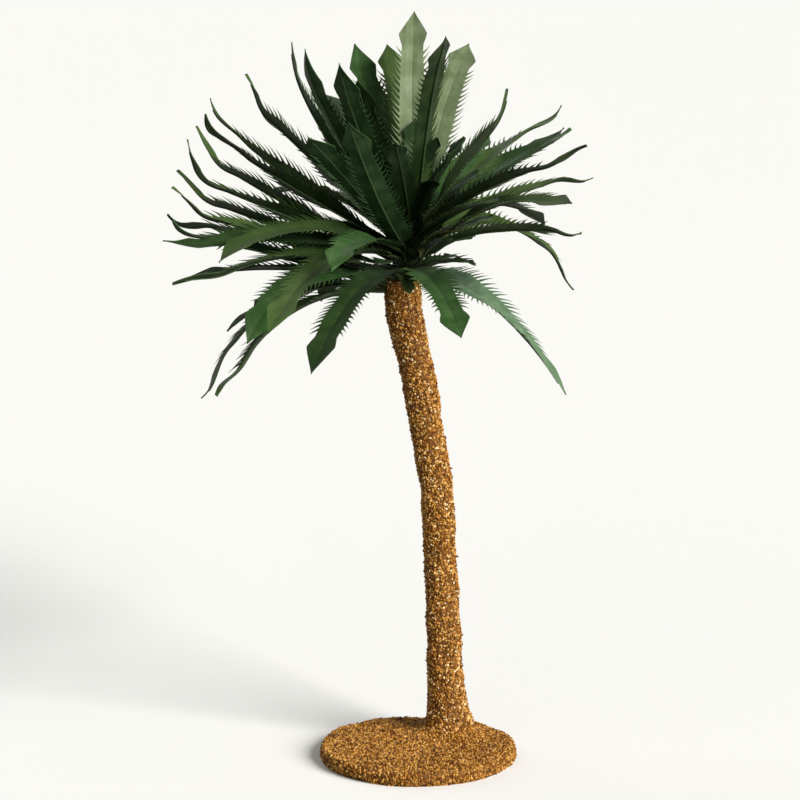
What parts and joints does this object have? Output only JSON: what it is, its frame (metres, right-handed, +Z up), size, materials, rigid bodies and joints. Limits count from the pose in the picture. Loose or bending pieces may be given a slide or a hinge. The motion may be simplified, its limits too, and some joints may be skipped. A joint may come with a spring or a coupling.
{
  "type": "model date palm tree",
  "caption": "Small craft model of a date palm: leaning granule-covered trunk on a low round base, with a full crown of arching, saw-edged, wired green fronds.",
  "frame": {"origin": "centre of the round base's flat underside", "axes": "+Z up along the standing height, -Y to the front, the trunk leaning towards -X"},
  "size_m": [0.1266, 0.1541, 0.2191],
  "materials": {
    "stand_grain": "coated all over with fine golden-brown granules, slightly glossy",
    "trunk_grain": "coated all over with fine golden-brown granules, slightly glossy",
    "heart_green": "stems wrapped in waxed green tape",
    "frond_deep": "waxed green sheet, satin, wired along the rib",
    "frond_mid": "waxed green sheet, satin, wired along the rib",
    "frond_light": "waxed green sheet, satin, wired along the rib",
    "frond_dark": "waxed green sheet, satin, wired along the rib"
  },
  "bodies": {
    "root": {"stand": "stand_grain", "trunk": "trunk_grain", "heart": "heart_green", "frond_01": "frond_deep", "frond_02": "frond_mid", "frond_03": "frond_light", "frond_04": "frond_dark", "frond_05": "frond_deep", "frond_06": "frond_mid", "frond_07": "frond_light", "frond_08": "frond_dark", "frond_09": "frond_deep", "frond_10": "frond_mid", "frond_11": "frond_light", "frond_12": "frond_dark", "frond_13": "frond_deep", "frond_14": "frond_mid", "frond_15": "frond_light", "frond_16": "frond_dark", "frond_17": "frond_deep", "frond_18": "frond_mid", "frond_19": "frond_light", "frond_20": "frond_dark", "frond_21": "frond_deep", "frond_22": "frond_mid", "frond_23": "frond_light", "frond_24": "frond_dark", "frond_25": "frond_deep", "frond_26": "frond_mid", "frond_27": "frond_light", "frond_28": "frond_dark", "frond_29": "frond_deep", "frond_30": "frond_mid", "frond_31": "frond_light", "frond_32": "frond_dark", "frond_33": "frond_deep", "frond_34": "frond_mid", "frond_35": "frond_light", "frond_36": "frond_dark", "frond_37": "frond_deep", "frond_38": "frond_mid", "frond_39": "frond_light", "frond_40": "frond_dark", "frond_41": "frond_deep", "frond_42": "frond_mid", "frond_43": "frond_light", "frond_44": "frond_dark", "frond_45": "frond_deep", "frond_46": "frond_mid", "frond_47": "frond_light", "frond_48": "frond_dark", "frond_49": "frond_deep", "frond_50": "frond_mid", "frond_51": "frond_light", "frond_52": "frond_dark", "frond_53": "frond_deep", "frond_54": "frond_mid", "frond_55": "frond_light", "frond_56": "frond_dark", "frond_57": "frond_deep"}
  },
  "joints": []
}
